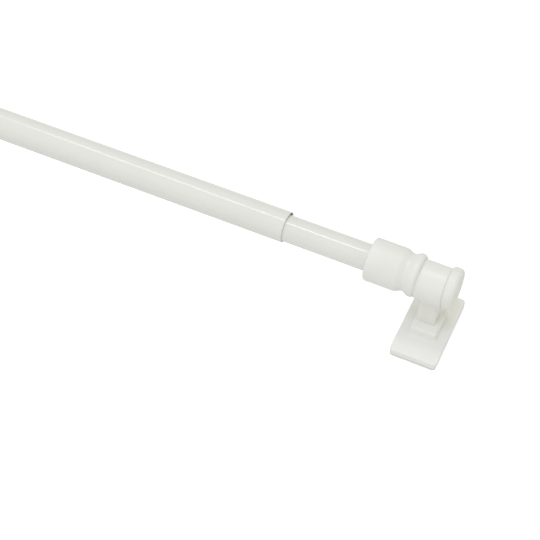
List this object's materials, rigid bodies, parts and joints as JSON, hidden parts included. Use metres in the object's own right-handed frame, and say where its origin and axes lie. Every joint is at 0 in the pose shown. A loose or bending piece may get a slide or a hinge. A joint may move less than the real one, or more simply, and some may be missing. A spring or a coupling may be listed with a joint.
{
  "type": "telescopic curtain rod",
  "caption": "White telescopic cafe curtain rod with turned plastic end caps, held off the window by swivelling ring brackets on adhesive base plates.",
  "frame": {"origin": "on the plane of the adhesive pads' backs, under the rod's axis, midway between the end knobs", "axes": "+X along the rod towards the inner tube's end, +Z away from the plane that the pads stick to, +Y across the rod"},
  "size_m": [0.333, 0.0324, 0.036],
  "materials": {
    "tube_paint": "gloss white paint on steel",
    "cap_plastic": "satin, faintly translucent white",
    "bracket_plastic": "satin, faintly translucent white",
    "plug_plastic": "matte",
    "pad_foam": "matte closed-cell foam"
  },
  "bodies": {
    "left_bracket": {"left_bracket_head": "bracket_plastic", "left_base_plate": "bracket_plastic", "left_adhesive_pad": "pad_foam"},
    "outer_rod": {"outer_tube": "tube_paint", "left_end_cap": "cap_plastic", "left_end_knob": "cap_plastic"},
    "inner_rod": {"inner_tube": "tube_paint", "inner_tube_plug": "plug_plastic", "right_end_cap": "cap_plastic", "right_end_knob": "cap_plastic"},
    "right_bracket": {"right_bracket_head": "bracket_plastic", "right_base_plate": "bracket_plastic", "right_adhesive_pad": "pad_foam"}
  },
  "joints": [
    {"name": "left_ring_swivel", "type": "hinge", "parent": "left_bracket", "child": "outer_rod", "pos_m": [-0.15701, 0, 0.028], "axis": [1, 0, 0], "continuous": true},
    {"name": "telescope", "type": "slide", "parent": "outer_rod", "child": "inner_rod", "axis": [1, 0, 0], "range_m": [-0.032, 0.168]},
    {"name": "right_ring_swivel", "type": "hinge", "parent": "inner_rod", "child": "right_bracket", "pos_m": [0.15701, 0, 0.028], "axis": [1, 0, 0], "continuous": true}
  ]
}
